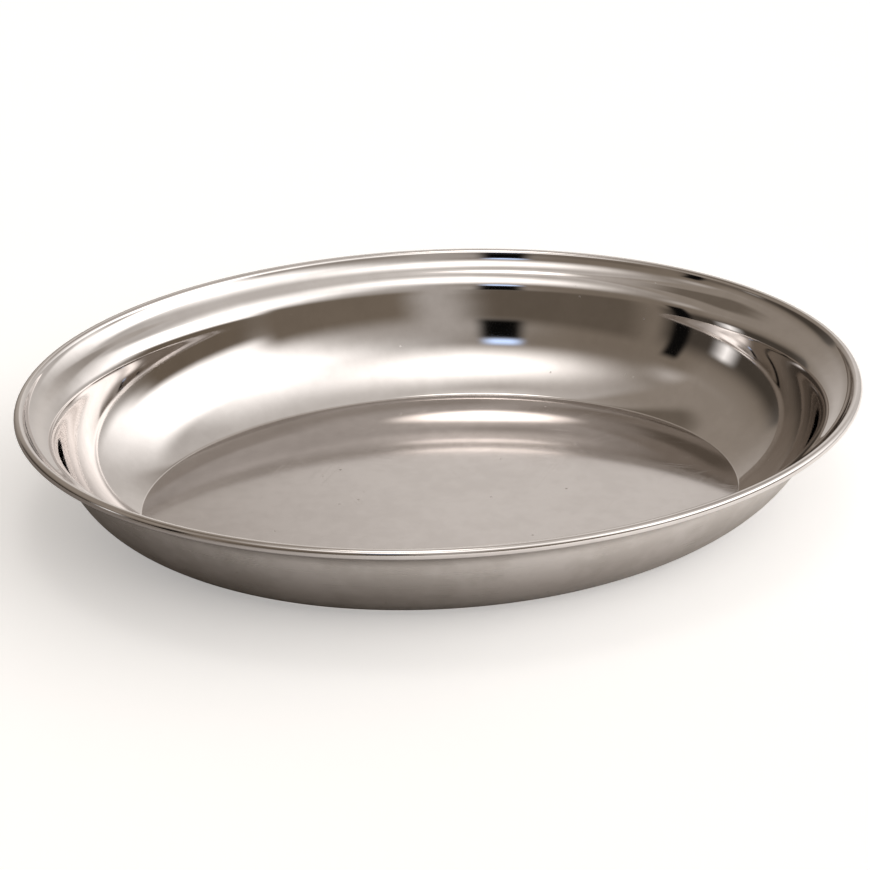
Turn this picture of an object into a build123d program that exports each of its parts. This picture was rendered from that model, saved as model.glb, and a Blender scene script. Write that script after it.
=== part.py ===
from build123d import *
import math
import os

# Oval serving dish pressed from stainless sheet, with a curled edge that is
# closed round a wire.  Millimetres.  +Z is up, +X is the long axis.  The
# origin is the centre of the flat base, on the face the dish stands on.

# ---- driving dimensions ----------------------------------------------------
LENGTH = 300.0          # overall, over the curled edge, along X
WIDTH = 218.0           # overall, over the curled edge, along Y
HEIGHT = 46.6           # base face to the top of the curled edge
SHEET = 0.7             # sheet thickness

BEAD_D = 3.6            # outside diameter of the curled edge
CURL_TURN = 276.0       # how far the sheet is rolled round the wire, degrees
WIRE_D = 2.0            # edge wire
WIRE_GAP = 0.8          # gap between the two butted ends of the wire

RISER_SLOPE = 64.0      # short upstand under the curl, from the horizontal
RISER_RUN = 0.5         # its straight part
# The step below the edge is wider and flatter at the two ends of the oval
# than at its sides, and the wall there is steeper: (side, end).
COVE_R = (13.8, 9.4)    # sheet centre line, upstand to step, hollow
STEP_SLOPE = (35.5, 26.0)
STEP_RUN = (0.4, 1.6)   # straight part of the step
SHOULDER_R = (14.1, 9.6)  # sheet centre line, step to wall
WALL_SLOPE = (71.0, 77.0)  # top of the wall, from the horizontal
WALL_TOP = 31.2         # height of the sheet centre line where the wall
                        # starts to round in
FLOOR_LENGTH = 216.8    # the flat floor is an oval of its own, narrower in
FLOOR_WIDTH = 143.4     # proportion than the rim
CORNER_R = 2.2          # inner radius, wall to floor
FLAT_LAP = 4.0          # flat part of the pressed ring beyond the corner
STATIONS = 9            # sections in one quarter of the oval, both ends counted

A = LENGTH / 2
B = WIDTH / 2
HALF = SHEET / 2


def rad(d):
    return math.radians(d)


# ---- sheet centre line -----------------------------------------------------
# A point is written (w, z): w is the distance inward from the outermost edge,
# measured square to the rim oval.  A slope s is measured down towards the
# bowl; the normal on the polished side is (sin s, cos s).

def shift(p, s, h):
    return (p[0] + h * math.sin(rad(s)), p[1] + h * math.cos(rad(s)))


curl_r = BEAD_D / 2 - HALF
curl_c = (BEAD_D / 2, HEIGHT - BEAD_D / 2)


def rim_point(t):
    # point on the rim oval, its outward normal, and how near it is to the
    # ends of the oval: 1 at an end, 0 at the middle of a side
    nx, ny = math.cos(t) / A, math.sin(t) / B
    n = math.hypot(nx, ny)
    return A * math.cos(t), B * math.sin(t), nx / n, ny / n, math.cos(t) ** 2


def run_on(p, s, length):
    return (p[0] + length * math.cos(rad(s)), p[1] - length * math.sin(rad(s)))


def floor_inset(x, y, nx, ny):
    # distance inward, square to the rim, from a rim point to the floor oval
    a, b = FLOOR_LENGTH / 2, FLOOR_WIDTH / 2
    qa = (nx / a) ** 2 + (ny / b) ** 2
    qb = -2 * (x * nx / a ** 2 + y * ny / b ** 2)
    qc = (x / a) ** 2 + (y / b) ** 2 - 1
    return (-qb - math.sqrt(qb * qb - 4 * qa * qc)) / (2 * qa)


def wall_arc(inset, start, wall):
    # radius of the wall arc, and its slope where it meets the corner radius,
    # so that the corner ends on the flat floor at this inset
    r = CORNER_R + HALF
    lo, hi = 0.0, wall - 1
    for _ in range(60):
        s = (lo + hi) / 2
        big = ((start[1] - HALF - r * (1 - math.cos(rad(s))))
               / (math.cos(rad(s)) - math.cos(rad(wall))))
        reach = (start[0] + big * (math.sin(rad(wall)) - math.sin(rad(s)))
                 + r * math.sin(rad(s)))
        if reach > inset:
            lo = s
        else:
            hi = s
    return big, s


def sheet_outline(t, h):
    # the sheet centre line at one station, moved by h along its normal: a
    # list of arcs (three points) and lines (two points), curl to floor
    x, y, nx, ny, k = rim_point(t)
    inset = floor_inset(x, y, nx, ny)
    cove_r, step, flat, shoulder_r, wall = [
        v[0] + (v[1] - v[0]) * k
        for v in (COVE_R, STEP_SLOPE, STEP_RUN, SHOULDER_R, WALL_SLOPE)]
    riser_top = shift(curl_c, RISER_SLOPE, curl_r)
    riser_end = run_on(riser_top, RISER_SLOPE, RISER_RUN)
    cove_c = shift(riser_end, RISER_SLOPE, cove_r)
    step_start = shift(cove_c, step, -cove_r)
    step_end = run_on(step_start, step, flat)
    shoulder_c = shift(step_end, step, -shoulder_r)
    wall_start = shift(shoulder_c, wall, shoulder_r)
    wall_end = run_on(wall_start, wall,
                      (wall_start[1] - WALL_TOP) / math.sin(rad(wall)))
    big, meet = wall_arc(inset, wall_end, wall)
    big_c = shift(wall_end, wall, big)
    r = CORNER_R + HALF
    corner_c = (inset, HALF + r)
    curl_end = RISER_SLOPE - CURL_TURN

    def out(c, radius, s0, s1):     # sheet curves away from its normal
        return [shift(c, s, radius + h) for s in (s0, (s0 + s1) / 2, s1)]

    def hollow(c, radius, s0, s1):  # sheet curves towards its normal
        return [shift(c, s, h - radius) for s in (s0, (s0 + s1) / 2, s1)]

    return [
        out(curl_c, curl_r, curl_end, RISER_SLOPE),
        [shift(riser_top, RISER_SLOPE, h), shift(riser_end, RISER_SLOPE, h)],
        hollow(cove_c, cove_r, RISER_SLOPE, step),
        [shift(step_start, step, h), shift(step_end, step, h)],
        out(shoulder_c, shoulder_r, step, wall),
        [shift(wall_start, wall, h), shift(wall_end, wall, h)],
        hollow(big_c, big, wall, meet),
        hollow(corner_c, r, meet, 0),
        [(inset, HALF + h), (inset + FLAT_LAP, HALF + h)],
    ]


# ---- dish body: one pressed sheet with its edge curled over ----------------
# One quarter of the pressed ring is a skin through sections that stand square
# to the rim oval.  The quarter is mirrored twice, and the flat floor closes it.
with BuildPart() as dish_body:
    for i in range(STATIONS):
        t = math.pi / 2 * i / (STATIONS - 1)
        x, y, nx, ny, _ = rim_point(t)
        stand = Plane(origin=(x, y, 0), x_dir=(-nx, -ny, 0), z_dir=(-ny, nx, 0))
        with BuildSketch(stand):
            with BuildLine():
                inner = sheet_outline(t, HALF)
                outer = sheet_outline(t, -HALF)
                for run in inner + outer:
                    if len(run) == 3:
                        ThreePointArc(*run)
                    else:
                        Line(*run)
                Line(inner[0][0], outer[0][0])
                Line(inner[-1][-1], outer[-1][-1])
            make_face()
    loft()
    mirror(about=Plane.YZ)
    mirror(about=Plane.XZ)
    # flat floor, lapped into the flat part of the ring
    with BuildSketch(Plane.XY):
        Ellipse(FLOOR_LENGTH / 2 - FLAT_LAP * 0.5, FLOOR_WIDTH / 2 - FLAT_LAP * 0.5)
    extrude(amount=SHEET)
dish_body.part.label = "dish_body"

# ---- edge wire inside the curl ---------------------------------------------
# The wire is one length bent to the oval; its two ends butt at the middle of
# the back edge.
gap_deg = math.degrees(WIRE_GAP / 2 / A)
with BuildLine() as wire_path:
    EllipticalCenterArc((0, 0), A, B, start_angle=90 + gap_deg,
                        arc_size=360 - 2 * gap_deg)
wire_run = wire_path.wires()[0]
wire_start = Plane(origin=wire_run @ 0, x_dir=(0, -1, 0), z_dir=wire_run % 0)

with BuildPart() as rim_wire:
    with BuildSketch(wire_start):
        with Locations(curl_c):
            Circle(WIRE_D / 2)
    sweep(path=wire_run)
rim_wire.part.label = "rim_wire"

# ---- files -----------------------------------------------------------------
os.makedirs("parts", exist_ok=True)
for piece in (dish_body, rim_wire):
    bb = piece.part.bounding_box()
    print(piece.part.label, "valid", piece.part.is_valid,
          "volume", round(piece.part.volume, 1),
          "solids", len(piece.part.solids()), "faces", len(piece.part.faces()),
          "box", tuple(round(v, 2) for v in bb.min), tuple(round(v, 2) for v in bb.max))
export_step(dish_body.part, "parts/dish_body.step")
export_step(rim_wire.part, "parts/rim_wire.step")
for deg in (0, 45, 90):
    line = sheet_outline(rad(deg), HALF)
    print("station", deg, "step", [round(v, 2) for v in line[3][0]],
          "wall top", [round(v, 2) for v in line[5][0]],
          "arc top", [round(v, 2) for v in line[5][1]],
          "floor inset", round(line[8][0][0], 2))
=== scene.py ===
import bpy
import math
import numpy as np
from mathutils import Matrix, Vector


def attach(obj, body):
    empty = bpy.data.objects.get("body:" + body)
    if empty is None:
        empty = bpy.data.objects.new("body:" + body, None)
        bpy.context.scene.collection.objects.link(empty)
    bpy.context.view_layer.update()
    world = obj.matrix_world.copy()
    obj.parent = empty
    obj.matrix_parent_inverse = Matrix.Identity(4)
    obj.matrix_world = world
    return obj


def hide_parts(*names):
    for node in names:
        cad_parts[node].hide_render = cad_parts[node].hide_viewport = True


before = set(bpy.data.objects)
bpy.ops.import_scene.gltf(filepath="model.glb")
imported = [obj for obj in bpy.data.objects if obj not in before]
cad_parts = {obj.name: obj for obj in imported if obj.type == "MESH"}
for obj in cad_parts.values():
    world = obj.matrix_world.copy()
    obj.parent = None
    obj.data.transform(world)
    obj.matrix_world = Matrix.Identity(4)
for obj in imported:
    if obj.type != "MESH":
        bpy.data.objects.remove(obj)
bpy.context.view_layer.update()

# --------------------------------------------------------------------------
# Dish geometry, millimetres, the same driving sizes as the CAD model
# --------------------------------------------------------------------------
LENGTH, WIDTH, HEIGHT, SHEET = 300.0, 218.0, 46.6, 0.7
BEAD_D, CURL_TURN = 3.6, 276.0
RISER_SLOPE, RISER_RUN = 64.0, 0.5
COVE_R, STEP_SLOPE, STEP_RUN, SHOULDER_R = (13.8, 9.4), (35.5, 26.0), (0.4, 1.6), (14.1, 9.6)
WALL_SLOPE, WALL_TOP = (71.0, 77.0), 31.2
FLOOR_LENGTH, FLOOR_WIDTH, CORNER_R = 216.8, 143.4, 2.2
A, B, HALF = LENGTH / 2, WIDTH / 2, SHEET / 2
EPS = 0.012            # the visible skin stays this far inside the CAD skin
MM = 0.001
N = 720                # stations round the oval (multiple of 8)
rad = math.radians


def stations():
    """Parameters round the rim oval, spaced evenly along a curve inside it."""
    t = np.linspace(0, 2 * np.pi, 20001)
    x = 0.5 * (A + FLOOR_LENGTH / 2) * np.cos(t)
    y = 0.5 * (B + FLOOR_WIDTH / 2) * np.sin(t)
    s = np.concatenate([[0], np.cumsum(np.hypot(np.diff(x), np.diff(y)))])
    return np.interp(np.arange(N) / N * s[-1], s, t)


T = stations()
NX, NY = np.cos(T) / A, np.sin(T) / B
NL = np.hypot(NX, NY)
NX, NY = NX / NL, NY / NL
EX, EY = A * np.cos(T), B * np.sin(T)


def section():
    """The sheet's centre line at every station, from the free end of the curl
    to the floor: w (inward), z (up), slope in radians, each (rows, N), and a
    zone per row: 0 curl, 1 upstand and ledge, 2 shoulder, 3 wall, 4 corner
    radius, 5 flat floor."""
    one = np.ones(N)
    fa, fb = FLOOR_LENGTH / 2, FLOOR_WIDTH / 2
    qa = (NX / fa) ** 2 + (NY / fb) ** 2
    qb = -2 * (EX * NX / fa ** 2 + EY * NY / fb ** 2)
    qc = (EX / fa) ** 2 + (EY / fb) ** 2 - 1
    inset = (-qb - np.sqrt(qb * qb - 4 * qa * qc)) / (2 * qa)

    def shift(p, s, h):
        return (p[0] + h * np.sin(s), p[1] + h * np.cos(s))

    def run_on(p, s, d):
        return (p[0] + d * np.cos(s), p[1] - d * np.sin(s))

    k = np.cos(T) ** 2
    cove_r, step, flat, shoulder_r, wall = [
        v[0] + (v[1] - v[0]) * k
        for v in (COVE_R, STEP_SLOPE, STEP_RUN, SHOULDER_R, WALL_SLOPE)]
    rs, ls, ws = rad(RISER_SLOPE), np.radians(step), np.radians(wall)
    curl_r = BEAD_D / 2 - HALF
    curl_c = (BEAD_D / 2 * one, (HEIGHT - BEAD_D / 2) * one)
    riser_top = shift(curl_c, rs, curl_r)
    riser_end = run_on(riser_top, rs, RISER_RUN)
    cove_c = shift(riser_end, rs, cove_r)
    step_start = shift(cove_c, ls, -cove_r)
    step_end = run_on(step_start, ls, flat)
    shoulder_c = shift(step_end, ls, -shoulder_r)
    wall_start = shift(shoulder_c, ws, shoulder_r)
    wall_end = run_on(wall_start, ws, (wall_start[1] - WALL_TOP) / np.sin(ws))
    r = CORNER_R + HALF
    lo, hi = np.zeros(N), ws - rad(1)
    for _ in range(60):
        s = (lo + hi) / 2
        big = (WALL_TOP - HALF - r * (1 - np.cos(s))) / (np.cos(s) - np.cos(ws))
        reach = wall_end[0] + big * (np.sin(ws) - np.sin(s)) + r * np.sin(s)
        lo, hi = np.where(reach > inset, s, lo), np.where(reach > inset, hi, s)
    meet = s
    big_c = shift(wall_end, ws, big)
    low_c = (inset, (HALF + r) * one)
    rows = []

    def arc(c, radius, s0, s1, k, zone, hollow):
        for i in range(k):
            s = s0 + (s1 - s0) * i / k
            p = shift(c, s, -radius if hollow else radius)
            rows.append((p[0], p[1], s * one, zone))

    def line(p, q, s, k, zone):
        for i in range(k):
            f = i / k
            rows.append((p[0] + (q[0] - p[0]) * f, p[1] + (q[1] - p[1]) * f, s * one, zone))

    arc(curl_c, curl_r, rad(RISER_SLOPE - CURL_TURN), rs, 60, 0, False)
    line(riser_top, riser_end, rs, 2, 1)
    arc(cove_c, cove_r, rs, ls, 24, 1, True)
    line(step_start, step_end, ls, 4, 1)
    arc(shoulder_c, shoulder_r, ls, ws, 32, 2, False)
    line(wall_start, wall_end, ws, 6, 3)
    arc(big_c, big, ws, meet, 48, 3, True)
    arc(low_c, r, meet, 0.0, 14, 4, True)
    rows.append((inset, HALF * one, 0.0 * one, 5))
    w = np.array([q[0] for q in rows])
    z = np.array([q[1] for q in rows])
    s = np.array([q[2] for q in rows])
    return w, z, s, [q[3] for q in rows]


CW, CZ, CS, ZONE = section()


def skin(h):
    """The centre line moved by h along its normal, as points in space."""
    w, z = CW + h * np.sin(CS), CZ + h * np.cos(CS)
    return np.stack([EX - w * NX, EY - w * NY, z], 2)


ROUND = 1.0            # distance round the dish half way down, metres


def build_body():
    h = HALF - EPS
    top, bot = skin(h), skin(-h)
    rows, kinds = [], []          # rings of N points, and the face kind above
    rows += [bot[i] for i in range(len(bot) - 1, -1, -1)]
    # rounded free edge of the curl, from its inner side to its outer side
    along_w = CW[0] - CW[1]
    along_z = CZ[0] - CZ[1]
    al = np.hypot(along_w, along_z)
    along_w, along_z = along_w / al, along_z / al
    for i in range(1, 8):
        a = math.pi * i / 8
        w = CW[0] + h * (-math.cos(a) * np.sin(CS[0]) + math.sin(a) * along_w)
        z = CZ[0] + h * (-math.cos(a) * np.cos(CS[0]) + math.sin(a) * along_z)
        rows.append(np.stack([EX - w * NX, EY - w * NY, z], 1))
    rows += [top[i] for i in range(len(top))]
    nb = len(bot)
    for i in range(len(rows) - 1):
        if i < nb - 1:
            z = ZONE[nb - 2 - i]
            kinds.append("hidden" if z == 0 else "outside")
        elif i < nb + 7:
            kinds.append("edge")
        else:
            z = ZONE[i - nb - 7]
            kinds.append({0: "bead", 1: "ledge", 2: "shoulder", 3: "wall", 4: "corner"}[z])
    verts = np.concatenate(rows)
    slot = {"outside": 1, "hidden": 2, "edge": 2, "bead": 3, "ledge": 0, "shoulder": 0,
            "wall": 0, "corner": 0}
    faces, mats, uvs = [], [], []
    # distance round, taken half way down, and distance along the sheet
    mid = top[len(top) // 2]
    per = np.concatenate([[0], np.cumsum(np.linalg.norm(np.diff(np.vstack([mid, mid[:1]]), axis=0), axis=1))])
    global ROUND
    ROUND = per[-1] * MM
    run = np.concatenate([[0], np.cumsum([np.linalg.norm(rows[i + 1] - rows[i], axis=1).mean()
                                          for i in range(len(rows) - 1)])])
    for i in range(len(rows) - 1):
        r0, r1 = i * N, (i + 1) * N
        m = slot[kinds[i]]
        for j in range(N):
            k = (j + 1) % N
            faces.append((r0 + j, r0 + k, r1 + k, r1 + j))
            mats.append(m)
            uvs.append(((per[j], run[i]), (per[j + 1], run[i]),
                        (per[j + 1], run[i + 1]), (per[j], run[i + 1])))
    verts = verts.tolist()

    def disc(first, z, up, mat):
        # concentric rings, then a square grid in the middle
        prev = first
        ref = np.array(verts[first:first + N])
        for s in (0.975, 0.94, 0.89, 0.83, 0.76, 0.68, 0.59, 0.5):
            start = len(verts)
            p = ref * s
            p[:, 2] = z
            verts.extend(p.tolist())
            for j in range(N):
                k = (j + 1) % N
                q = (prev + j, prev + k, start + k, start + j)
                q = q if up else q[::-1]
                faces.append(q)
                mats.append(mat)
                uvs.append(tuple((verts[v][0], verts[v][1]) for v in q))
            prev = start
        m, o = N // 4, N // 8
        edge = np.array(verts[prev:prev + N])
        # sides: 0 right, 1 top, 2 left, 3 bottom, each m + 1 points, anticlockwise
        side = [[edge[(k * m + i - o) % N] for i in range(m + 1)] for k in range(4)]
        ids = {}
        c00, c10, c11, c01 = side[3][0], side[3][m], side[1][0], side[1][m]
        for i in range(m + 1):
            for j in range(m + 1):
                if i == m:
                    ids[i, j] = prev + (j - o) % N
                elif j == m:
                    ids[i, j] = prev + (m + (m - i) - o) % N
                elif i == 0:
                    ids[i, j] = prev + (2 * m + (m - j) - o) % N
                elif j == 0:
                    ids[i, j] = prev + (3 * m + i - o) % N
                else:
                    u, v = i / m, j / m
                    q = ((1 - v) * side[3][i] + v * side[1][m - i]
                         + (1 - u) * side[2][m - j] + u * side[0][j]
                         - ((1 - u) * (1 - v) * c00 + u * (1 - v) * c10 + u * v * c11 + (1 - u) * v * c01))
                    ids[i, j] = len(verts)
                    verts.append([q[0], q[1], z])
        for i in range(m):
            for j in range(m):
                q = (ids[i, j], ids[i + 1, j], ids[i + 1, j + 1], ids[i, j + 1])
                q = q if up else q[::-1]
                faces.append(q)
                mats.append(mat)
                uvs.append(tuple((verts[v][0], verts[v][1]) for v in q))

    disc((len(rows) - 1) * N, top[-1][0][2], True, 4)
    disc(0, bot[-1][0][2], False, 5)
    return verts, faces, mats, uvs


def make_mesh(name, verts, faces, mats, uvs):
    me = bpy.data.meshes.new(name)
    me.from_pydata([[c * MM for c in v] for v in verts], [], faces)
    me.polygons.foreach_set("material_index", np.array(mats, np.int32))
    me.polygons.foreach_set("use_smooth", np.ones(len(faces), bool))
    uv = me.uv_layers.new(name="UVMap")
    flat = np.array([c for f in uvs for c in f], np.float32) * MM
    uv.data.foreach_set("uv", flat.ravel())
    me.update()
    me.validate(verbose=True)
    ob = bpy.data.objects.new(name, me)
    bpy.context.scene.collection.objects.link(ob)
    return ob


v, f, m, u = build_body()
body = make_mesh("dish_shell", v, f, m, u)
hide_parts("dish_body")
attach(body, "root")


# --------------------------------------------------------------------------
# A small helper for node trees
# --------------------------------------------------------------------------
class Tree:
    def __init__(self, tree):
        self.t = tree
        tree.nodes.clear()

    def add(self, kind, **props):
        n = self.t.nodes.new(kind)
        for k, v in props.items():
            setattr(n, k, v)
        return n

    def put(self, socket, value):
        if isinstance(value, bpy.types.NodeSocket):
            self.t.links.new(value, socket)
        elif value is not None:
            socket.default_value = value

    def math(self, op, a, b=None, c=None, clamp=False):
        n = self.add("ShaderNodeMath", operation=op, use_clamp=clamp)
        for s, v in zip(n.inputs, (a, b, c)):
            self.put(s, v)
        return n.outputs[0]

    def mul(self, a, b):
        return self.math("MULTIPLY", a, b)

    def plus(self, a, b):
        return self.math("ADD", a, b)

    def step(self, x, a, b, lo=0.0, hi=1.0):
        """Goes smoothly from lo at x = a to hi at x = b."""
        n = self.add("ShaderNodeMapRange", interpolation_type="SMOOTHSTEP")
        for s, v in zip(n.inputs, (x, a, b, lo, hi)):
            self.put(s, v)
        return n.outputs[0]

    def noise(self, vec, scale, detail=2.0, rough=0.5, distort=0.0, dims="3D"):
        n = self.add("ShaderNodeTexNoise", noise_dimensions=dims)
        self.put(n.inputs["Vector"], vec)
        n.inputs["Scale"].default_value = scale
        n.inputs["Detail"].default_value = detail
        n.inputs["Roughness"].default_value = rough
        n.inputs["Distortion"].default_value = distort
        return n.outputs[0]

    def scaled(self, vec, s, rot=(0, 0, 0), loc=(0, 0, 0)):
        n = self.add("ShaderNodeMapping")
        self.put(n.inputs["Vector"], vec)
        n.inputs["Scale"].default_value = s
        n.inputs["Rotation"].default_value = rot
        n.inputs["Location"].default_value = loc
        return n.outputs[0]

    def mix(self, fac, a, b):
        n = self.add("ShaderNodeMix", data_type="RGBA")
        self.put(n.inputs[0], fac)
        self.put(n.inputs[6], a)
        self.put(n.inputs[7], b)
        return n.outputs[2]

    def bump(self, height, strength, distance, normal=None):
        n = self.add("ShaderNodeBump")
        n.inputs["Strength"].default_value = strength
        n.inputs["Distance"].default_value = distance
        self.put(n.inputs["Height"], height)
        if normal is not None:
            self.put(n.inputs["Normal"], normal)
        return n.outputs[0]

    def coords(self, which):
        return self.add("ShaderNodeTexCoord").outputs[which]


# --------------------------------------------------------------------------
# Materials
# --------------------------------------------------------------------------
def steel(name, base, dark, rough, vary, layers, anis=0.0, wave=0.0, wave_size=0.02,
          tangent=False, specks=0.0, speck_cut=0.66, scuff=0.0, bands=0.0):
    """Stainless steel.  layers: (scale vector, amount of roughness, bump in
    metres) streak sets drawn in the UV map, whose axes are metres round the
    dish and metres along the sheet."""
    mt = bpy.data.materials.new(name)
    mt.use_nodes = True
    k = Tree(mt.node_tree)
    out = k.add("ShaderNodeOutputMaterial")
    bs = k.add("ShaderNodeBsdfPrincipled")
    k.t.links.new(bs.outputs[0], out.inputs[0])
    bs.inputs["Metallic"].default_value = 1.0
    bs.inputs["Anisotropic"].default_value = anis
    uv = k.coords("UV")
    ob = k.coords("Object")
    # slow cloudiness of the polish
    cloud = k.noise(k.scaled(ob, (1, 1, 1)), 38.0, 3.0, 0.55)
    cloud2 = k.noise(k.scaled(ob, (1, 1, 1), loc=(0.31, 0.17, 0.05)), 160.0, 2.0, 0.6)
    mixed = k.plus(k.mul(cloud, 0.6), k.mul(cloud2, 0.4))
    r = k.plus(rough - vary * 0.5, k.mul(mixed, vary))
    c = k.step(mixed, 0.38, 0.62)
    height = None
    # position round the dish from x and y, position along the sheet from v
    so, su = k.add("ShaderNodeSeparateXYZ"), k.add("ShaderNodeSeparateXYZ")
    k.put(so.inputs[0], ob)
    k.put(su.inputs[0], uv)
    lane = k.add("ShaderNodeCombineXYZ")
    for i_, o_ in enumerate((so.outputs[0], so.outputs[1], su.outputs[1])):
        k.put(lane.inputs[i_], o_)
    for (fine_u, fine_v), amount, bump in layers:
        s = k.noise(k.scaled(lane.outputs[0], (fine_u, fine_u, fine_v)), 1.0, 2.0, 0.6)
        r = k.plus(r, k.mul(k.plus(s, -0.5), amount))
        h = k.mul(s, bump)
        height = h if height is None else k.plus(height, h)
    if bands:
        # soft upright bands one after the other round the dish, in roughness and in
        # colour; the colour bands are painted reflection, streaks stretched down the wall
        turn = k.mul(su.outputs[0], 2 * math.pi / ROUND)
        ring = k.add("ShaderNodeCombineXYZ")
        k.put(ring.inputs[0], k.math("COSINE", turn))
        k.put(ring.inputs[1], k.math("SINE", turn))
        wide = k.noise(k.scaled(ring.outputs[0], (ROUND / (2 * math.pi),) * 3), 62.0, 2.0, 0.55)
        r = k.plus(r, k.mul(k.plus(wide, -0.5), bands))
        c = k.plus(c, k.mul(k.plus(wide, -0.5), bands * 22.0))
    if specks:
        vo = k.add("ShaderNodeTexVoronoi", feature="F1", voronoi_dimensions="3D")
        k.put(vo.inputs["Vector"], ob)
        vo.inputs["Scale"].default_value = 190.0
        vo.inputs["Randomness"].default_value = 1.0
        chosen = k.step(k.noise(vo.outputs["Position"], 73.0, 0.0, 0.5), speck_cut, speck_cut + 0.04)
        dot = k.mul(k.step(vo.outputs["Distance"], 0.13, 0.05), chosen)
        r = k.plus(r, k.mul(dot, 0.35))
        sh = k.mul(dot, -specks)
        height = sh if height is None else k.plus(height, sh)
        c = k.plus(c, k.mul(dot, -0.9))
    if scuff:
        # hair-fine scratches in several directions, broken up in length
        total = None
        for n_, (ang, dens) in enumerate(((0.35, 1.0), (1.25, 1.15), (2.2, 0.9), (2.85, 1.3))):
            q = k.scaled(ob, (1, 1, 1), rot=(0, 0, ang), loc=(0.1 * n_, 0.05 * n_, 0))
            line = k.noise(k.scaled(q, (16.0, 2600.0 * dens, 16.0)), 1.0, 0.0, 0.5)
            part = k.noise(k.scaled(q, (45.0, 45.0, 45.0), loc=(3.1 * n_, 1.7, 0)), 1.0, 1.0, 0.5)
            s = k.mul(k.step(line, 0.70, 0.76), k.step(part, 0.54, 0.66))
            total = s if total is None else k.math("MAXIMUM", total, s)
        r = k.plus(r, k.mul(total, 0.16))
        height = k.mul(total, -scuff) if height is None else k.plus(height, k.mul(total, -scuff))
    if wave:
        # the slight unevenness of pressed and polished sheet
        wv = k.noise(ob, 1.0 / wave_size, 1.0, 0.4)
        w2 = k.mul(wv, wave)
        height = w2 if height is None else k.plus(height, w2)
    k.put(bs.inputs["Roughness"], k.math("MAXIMUM", r, 0.015))
    k.put(bs.inputs["Base Color"], k.mix(k.math("MAXIMUM", c, 0.0), dark, base))
    if height is not None:
        k.put(bs.inputs["Normal"], k.bump(height, 1.0, 1.0))
    if tangent:
        tg = k.add("ShaderNodeTangent", direction_type="UV_MAP", uv_map="UVMap")
        k.put(bs.inputs["Tangent"], tg.outputs[0])
    return mt


WARM = (0.700, 0.665, 0.646, 1)
WARM_D = (0.655, 0.620, 0.600, 1)
m_inside = steel("steel_inside", WARM, WARM_D, 0.05, 0.03,
                 [((10, 1800), 0.02, 0.15e-6)], wave=2.0e-6, wave_size=0.022,
                 specks=4e-6, scuff=0.0)
# the flat floor of the dish has a darker colour than the walls of the same sheet: painted shade
m_floor = steel("steel_floor", (0.60, 0.566, 0.549, 1), (0.565, 0.532, 0.514, 1), 0.085, 0.02,
                [], wave=2.0e-6, wave_size=0.03, specks=8e-6, speck_cut=0.63, scuff=0.4e-6)
m_bead = steel("steel_bead", WARM, WARM_D, 0.10, 0.05,
               [((14, 2600), 0.06, 0.3e-6)], wave=2.5e-6, wave_size=0.012, specks=4e-6)
m_outside = steel("steel_outside", (0.655, 0.617, 0.590, 1), (0.575, 0.538, 0.508, 1), 0.31, 0.02,
                  [((16, 2300), 0.16, 1.5e-6), ((6, 800), 0.10, 1.4e-6)],
                  anis=0.6, tangent=True, specks=10e-6, speck_cut=0.60, bands=0.07)
m_hidden = steel("steel_curl_inner", (0.55, 0.53, 0.50, 1), (0.47, 0.45, 0.42, 1), 0.34, 0.10,
                 [((20, 2200), 0.12, 1.0e-6)])
m_base = steel("steel_base", (0.62, 0.59, 0.555, 1), (0.555, 0.525, 0.49, 1), 0.27, 0.09,
               [], wave=4e-6, wave_size=0.035, specks=8e-6, speck_cut=0.60, scuff=3e-6)
for m in (m_inside, m_outside, m_hidden, m_bead, m_floor, m_base):
    body.data.materials.append(m)

# drawn wire inside the curl
m_wire = bpy.data.materials.new("wire_steel_drawn")
m_wire.use_nodes = True
kw = Tree(m_wire.node_tree)
wo = kw.add("ShaderNodeOutputMaterial")
wb = kw.add("ShaderNodeBsdfPrincipled")
kw.t.links.new(wb.outputs[0], wo.inputs[0])
wb.inputs["Metallic"].default_value = 1.0
wc = kw.coords("Object")
wn = kw.noise(kw.scaled(wc, (60, 60, 4200)), 1.0, 3.0, 0.6)
wn2 = kw.noise(wc, 220.0, 3.0, 0.6)
kw.put(wb.inputs["Roughness"], kw.plus(0.28, kw.mul(wn, 0.22)))
kw.put(wb.inputs["Base Color"], kw.mix(kw.step(wn2, 0.35, 0.65), (0.42, 0.41, 0.39, 1), (0.56, 0.55, 0.53, 1)))
kw.put(wb.inputs["Normal"], kw.bump(wn, 1.0, 3e-6))
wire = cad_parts["rim_wire"]
wire.data.materials.clear()
wire.data.materials.append(m_wire)

FLOOR_GLOW = 0.34


def tone(v, warm=1.0):
    """A grey of brightness v, warmer for higher values of warm."""
    return (v * (1 + 0.05 * warm), v, v * (1 - 0.05 * warm), 1)


BASE_SKY = tone(0.20, 4)

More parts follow.
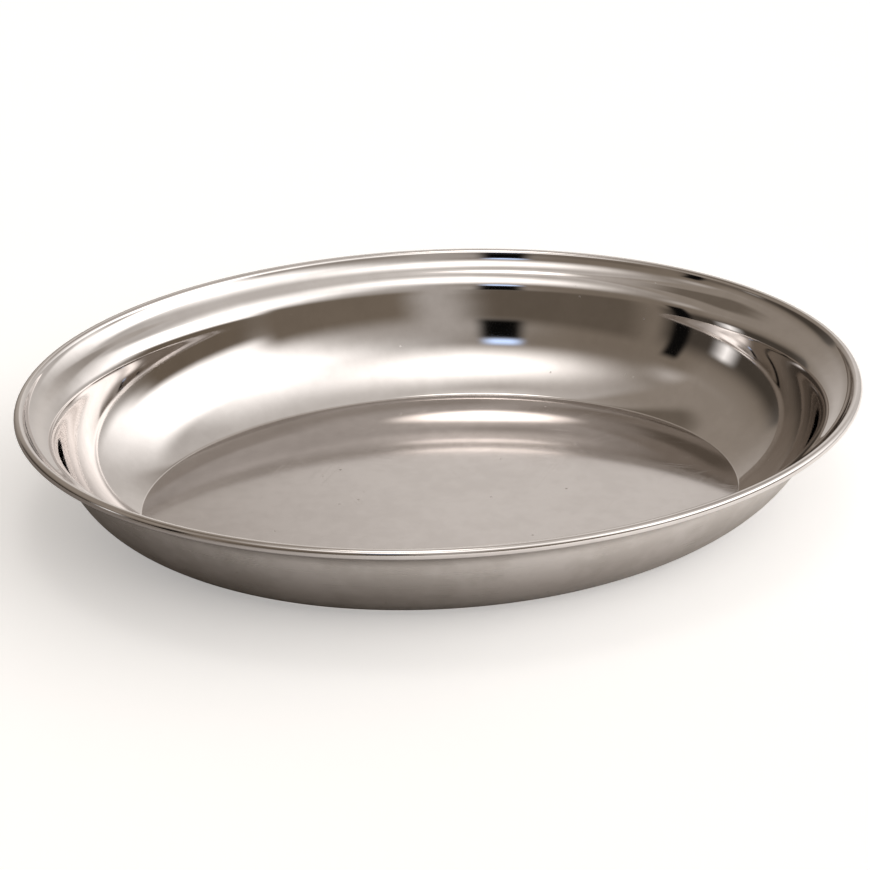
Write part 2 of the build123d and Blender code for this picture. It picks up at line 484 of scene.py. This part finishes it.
# Soft-edged areas of the studio, each laid over the ones before it: azimuth
# of the middle, half width, low and high elevation, brightness as seen in
# the steel, softness sideways and up and down, all in degrees.  Azimuth 0 is
# behind the dish as the camera sees it, 90 is to its right, 180 is the camera.
PANELS = [
    (83, 90, -90, 93, tone(0.58, 1), 12, 4),           # light right half
    (0, 181, 66, 108, tone(0.76, 1), 1, 32),           # ceiling
    (-104, 14, 40, 48, tone(1.05, 0.8), 18, 5),        # top of the left wall
    (173, 34, 77, 87, tone(1.0, 0.8), 32, 4),          # glow above the camera light
    (0, 181, 83, 99, tone(4.2, 0.8), 1, 3),            # opening at the top of the tent
    (175, 28, 49, 65, tone(2.6, 0.5), 34, 9),          # light over the camera
    (120, 22, 26, 52, tone(2.5, 0.3), 26, 17),         # glow over the softbox
    (98, 26, 11, 44, tone(2.5, 0.3), 38, 4),           # softbox
    (163, 21, 10, 37, tone(0.47, 1.5), 20, 7),         # its edge
    (112, 27, -30, 17, tone(0.14, 5), 15, 3.5),        # dark under it
    (148, 17, -30, 25.5, tone(0.17, 4.5), 4.5, 7),     # room right of the camera
    (-162, 21, -30, 26, tone(0.12, 4.5), 6, 4.5),      # room left of the camera
    (-93, 41, -30, 21, tone(0.06, 4), 3.5, 8),         # dark shapes, low left
    (-127.5, 3.2, -30, 31, tone(0.004), 1.5, 3),       # dark upright
    (-107.5, 1.8, 4, 17, tone(2.1, 0.3), 7, 3),        # small strip light
    (-176, 4, 38, 42, (1.0, 1.3, 1.9, 1), 2.5, 2),     # cool glint of a window
    (-176.5, 5, 25, 38, tone(0.003), 2, 2),            # the camera itself
    (1, 25, 3, 53, tone(0.96, 1), 48, 38),             # backdrop
    (-61, 55, 29, 78, tone(0.30, 3), 7, 15),           # back left of the room
    (-60, 23, 56, 73, tone(0.15, 4), 9, 4),            # its unlit corner
    (29, 15, 37, 58, tone(0.36, 2), 5, 12),            # back right of the room
    (27, 28, 52, 72, tone(0.48, 1.8), 6, 6),           # shade under the ceiling
    (0, 181, -95, -36, tone(0.50, 1.2), 1, 6),         # pale ground, seen by the base only
]

# --------------------------------------------------------------------------
# Camera at the product-shot angle
# --------------------------------------------------------------------------
CAM = dict(e=30.11, psi=9.36, D=6.1167, s=397.43, tx=-0.0185, ty=0.2833)


def make_camera():
    cam = bpy.data.cameras.new("camera")
    ob = bpy.data.objects.new("camera", cam)
    bpy.context.scene.collection.objects.link(ob)
    e, p = rad(CAM["e"]), -rad(CAM["psi"])
    a = A * MM
    pos = Vector((CAM["tx"], CAM["ty"] - CAM["D"] * math.cos(e), CAM["D"] * math.sin(e))) * a
    pos.z += SHEET * MM
    rot = Matrix.Rotation(p, 4, "Z")
    fw = Vector((0, math.cos(e), -math.sin(e)))
    up = Vector((0, math.sin(e), math.cos(e)))
    m = Matrix(((1, up.x, -fw.x, pos.x), (0, up.y, -fw.y, pos.y),
                (0, up.z, -fw.z, pos.z), (0, 0, 0, 1)))
    ob.matrix_world = rot @ m
    cam.sensor_width = 36.0
    cam.lens = CAM["s"] * CAM["D"] / 870.0 * 36.0
    cam.clip_start = 0.01
    cam.clip_end = 60
    bpy.context.scene.camera = ob
    return ob


camera = make_camera()

# --------------------------------------------------------------------------
# Studio: pale floor, and soft panels round the dish
# --------------------------------------------------------------------------
bpy.context.scene.view_settings.view_transform = "Standard"
bpy.context.scene.view_settings.look = "None"

fm = bpy.data.meshes.new("studio_floor")
R = 4.0
fm.from_pydata([(-R, -R, 0), (R, -R, 0), (R, R, 0), (-R, R, 0)], [], [(0, 1, 2, 3)])
floor = bpy.data.objects.new("studio_floor", fm)
floor.location.z = -0.00002
bpy.context.scene.collection.objects.link(floor)
m_fl = bpy.data.materials.new("studio_floor_pale")
m_fl.use_nodes = True
kf = Tree(m_fl.node_tree)
fo = kf.add("ShaderNodeOutputMaterial")
fb = kf.add("ShaderNodeBsdfPrincipled")
# one-sided, and open to the very short rays that leave the base: seen from
# below, the floor neither hides the base of the dish nor blacks it out
f_geo = kf.add("ShaderNodeNewGeometry")
f_len = kf.add("ShaderNodeLightPath")
f_open = kf.math("MAXIMUM", f_geo.outputs["Backfacing"],
                 kf.math("LESS_THAN", f_len.outputs["Ray Length"], 0.0004))
f_clear = kf.add("ShaderNodeBsdfTransparent")
f_side = kf.add("ShaderNodeMixShader")
kf.put(f_side.inputs[0], f_open)
kf.t.links.new(fb.outputs[0], f_side.inputs[1])
kf.t.links.new(f_clear.outputs[0], f_side.inputs[2])
kf.t.links.new(f_side.outputs[0], fo.inputs[0])
fb.inputs["Roughness"].default_value = 0.9
fb.inputs["Specular IOR Level"].default_value = 0.2
f_co = kf.coords("Object")
fn = kf.noise(f_co, 6.0, 2.0, 0.5)
# pale in the picture; in the steel it shows as a greyer copy with painted shade,
# darker towards the left
f_lp = kf.add("ShaderNodeLightPath")
f_xy = kf.add("ShaderNodeSeparateXYZ")
kf.put(f_xy.inputs[0], f_co)
shade = kf.step(kf.plus(f_xy.outputs[0], kf.mul(f_xy.outputs[1], -0.3)), -0.22, 0.20)
painted_shade_floor_colour = kf.mix(shade, (0.30, 0.275, 0.255, 1), (0.78, 0.755, 0.73, 1))
pale = kf.mix(fn, (0.93, 0.925, 0.915, 1), (0.96, 0.957, 0.95, 1))
kf.put(fb.inputs["Base Color"], kf.mix(f_lp.outputs["Is Camera Ray"], painted_shade_floor_colour, pale))
fb.inputs["Emission Color"].default_value = (1.0, 0.995, 0.99, 1)
# painted glow of the floor as the steel sees it, faded out round the dish as a painted shadow and darker on the
# left
f_r = kf.math("SQRT", kf.plus(kf.math("POWER", kf.mul(f_xy.outputs[0], 1 / 0.108), 2.0),
                              kf.math("POWER", kf.mul(f_xy.outputs[1], 1 / 0.072), 2.0)))
painted_floor_glow = kf.mul(kf.mul(kf.step(f_r, 1.10, 1.60), shade), 0.55)
f_mix = kf.add("ShaderNodeMix", data_type="FLOAT")
kf.put(f_mix.inputs[0], f_lp.outputs["Is Camera Ray"])
kf.put(f_mix.inputs[2], painted_floor_glow)
f_mix.inputs[3].default_value = FLOOR_GLOW
kf.put(fb.inputs["Emission Strength"], f_mix.outputs[0])
fm.materials.append(m_fl)

world = bpy.data.worlds.new("studio")
bpy.context.scene.world = world
world.use_nodes = True
kw = Tree(world.node_tree)
w_out = kw.add("ShaderNodeOutputWorld")
sep = kw.add("ShaderNodeSeparateXYZ")
rotv = kw.add("ShaderNodeVectorRotate", rotation_type="Z_AXIS")
kw.put(rotv.inputs["Vector"], kw.coords("Generated"))
rotv.inputs["Angle"].default_value = rad(CAM["psi"])
kw.put(sep.inputs[0], rotv.outputs[0])
AZ = kw.mul(kw.math("ARCTAN2", sep.outputs[0], sep.outputs[1]), 180 / math.pi)
EL = kw.mul(kw.math("ARCSINE", kw.math("MINIMUM", kw.math("MAXIMUM", sep.outputs[2], -1.0), 1.0)), 180 / math.pi)
sky = kw.mix(0.0, BASE_SKY, BASE_SKY)


for az, half, lo, hi, color, soft, soft_el in PANELS:
    d = kw.math("ABSOLUTE", kw.math("WRAP", kw.plus(AZ, -az), 180.0, -180.0))
    f = kw.step(d, half + soft, half - soft)
    f = kw.mul(f, kw.mul(kw.step(EL, lo - soft_el, lo + soft_el), kw.step(EL, hi + soft_el, hi - soft_el)))
    sky = kw.mix(f, sky, color)

em = kw.add("ShaderNodeBackground")
kw.put(em.inputs[0], sky)
em.inputs[1].default_value = 1.0
plain = kw.add("ShaderNodeBackground")
plain.inputs[0].default_value = (0.93, 0.925, 0.915, 1)
plain.inputs[1].default_value = 1.0
lp = kw.add("ShaderNodeLightPath")
pick = kw.add("ShaderNodeMixShader")
kw.put(pick.inputs[0], lp.outputs["Is Camera Ray"])
kw.t.links.new(em.outputs[0], pick.inputs[1])
kw.t.links.new(plain.outputs[0], pick.inputs[2])
kw.t.links.new(pick.outputs[0], w_out.inputs[0])
